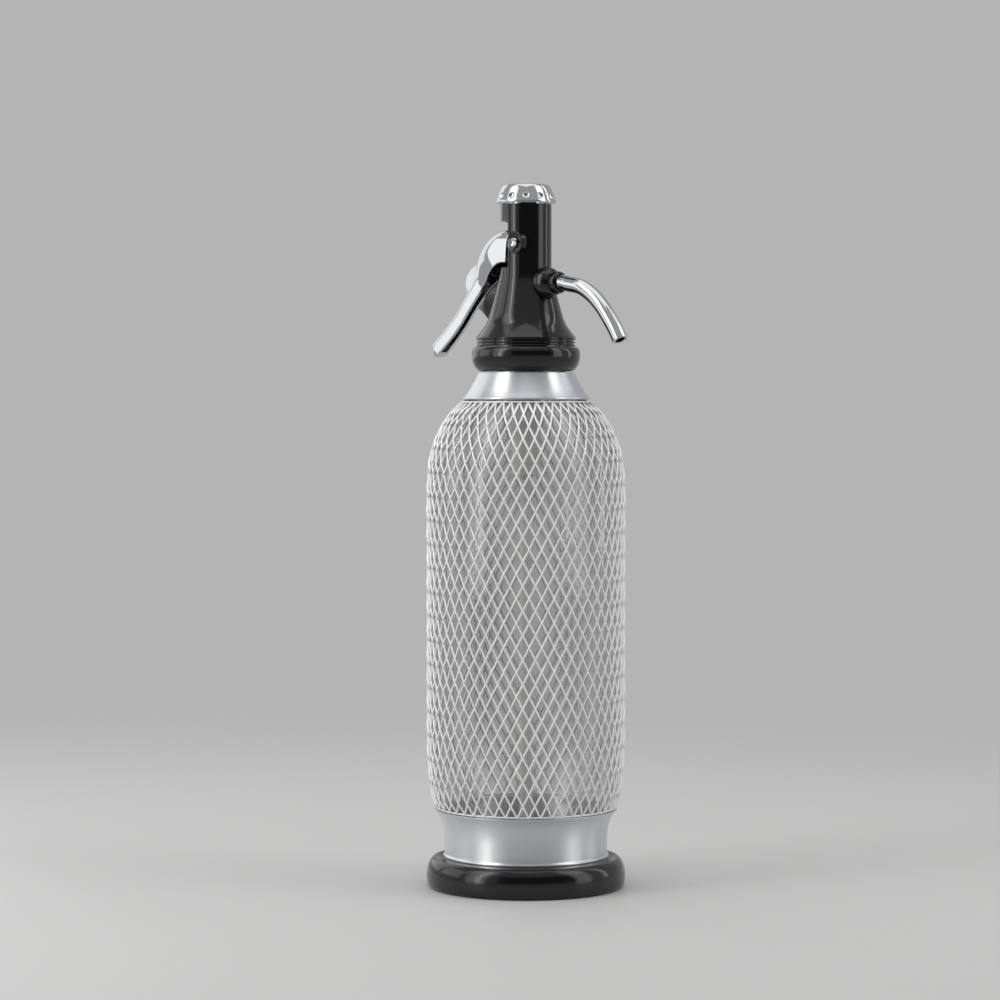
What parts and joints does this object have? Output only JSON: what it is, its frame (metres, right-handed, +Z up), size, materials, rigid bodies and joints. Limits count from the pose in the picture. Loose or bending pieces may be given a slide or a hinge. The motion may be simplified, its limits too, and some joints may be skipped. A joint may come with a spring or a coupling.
{
  "type": "soda siphon",
  "caption": "Mesh-covered glass soda siphon with a black head, chrome lever, curved spout, side charger holder, metal base cup and rubber foot.",
  "frame": {"origin": "centre of the rubber foot's underside, where the siphon stands", "axes": "+Z up along the bottle's axis, +X the way the spout points, -X the lever"},
  "size_m": [0.1481, 0.1042, 0.3659],
  "materials": {
    "black_rubber": "matte",
    "polished_steel": "polished",
    "clear_glass": "clear",
    "mesh_wire": "bright wire",
    "plain_steel": "plain",
    "pale_silicone": "matte",
    "white_plastic": "satin",
    "black_plastic": "gloss",
    "chrome_plate": "mirror bright",
    "turned_brass": "turned",
    "dark_plastic": "satin",
    "satin_metal": "satin"
  },
  "bodies": {
    "bottle": {"foot_boot": "black_rubber", "base_cup": "polished_steel", "base_pad": "black_rubber", "glass_bottle": "clear_glass", "wire_mesh_sleeve": "mesh_wire", "neck_shroud": "polished_steel", "neck_ring": "plain_steel", "mouth_gasket": "pale_silicone"},
    "measuring": {"measuring_tube": "white_plastic"},
    "head": {"riser_tube": "white_plastic", "head_socket": "plain_steel", "collar_ring": "black_plastic", "grooved_band": "black_plastic", "head_cover": "black_plastic", "top_cap": "chrome_plate", "hinge_pin": "chrome_plate", "valve_block": "turned_brass", "valve_seat": "turned_brass", "stem_seal": "pale_silicone", "spout_boss": "black_plastic", "spout_nut": "black_plastic", "spout_tube": "chrome_plate", "charger_stub": "plain_steel", "piercing_pin": "plain_steel", "stub_seal": "pale_silicone"},
    "lever": {"lever": "chrome_plate"},
    "valve": {"valve_stem": "plain_steel", "valve_plug": "black_rubber", "valve_spring": "plain_steel"},
    "charger": {"charger": "plain_steel"},
    "holder": {"holder_sleeve": "dark_plastic", "holder_dome": "satin_metal"}
  },
  "joints": [
    {"name": "head_lift", "type": "slide", "parent": "bottle", "child": "measuring", "axis": [0, 0, 1], "range_m": [0, 0.262]},
    {"name": "head_turn", "type": "hinge", "parent": "measuring", "child": "head", "pos_m": [0, 0, 0.28], "axis": [0, 0, 1], "range_deg": [0, 540]},
    {"name": "lever_press", "type": "hinge", "parent": "head", "child": "lever", "pos_m": [0.005, 0, 0.3353], "axis": [0, -1, 0], "range_deg": [0, 8], "stiffness_Nm_per_rad": 2, "springref_deg": -5.73},
    {"name": "valve_slide", "type": "slide", "parent": "head", "child": "valve", "axis": [0, 0, -1], "range_m": [0, 0.0008], "deforming": ["valve_spring"]},
    {"name": "charger_slide", "type": "slide", "parent": "head", "child": "charger", "axis": [-0.8335, 0.4339, 0.342], "range_m": [0, 0.03]},
    {"name": "holder_turn", "type": "hinge", "parent": "charger", "child": "holder", "pos_m": [-0.0064, 0.0064, 0.293], "axis": [-0.8335, 0.4339, 0.342], "range_deg": [0, 1080]}
  ],
  "couplings": [
    {"joint": "valve_slide", "follows": "lever_press", "m_per_rad": 0.005}
  ]
}
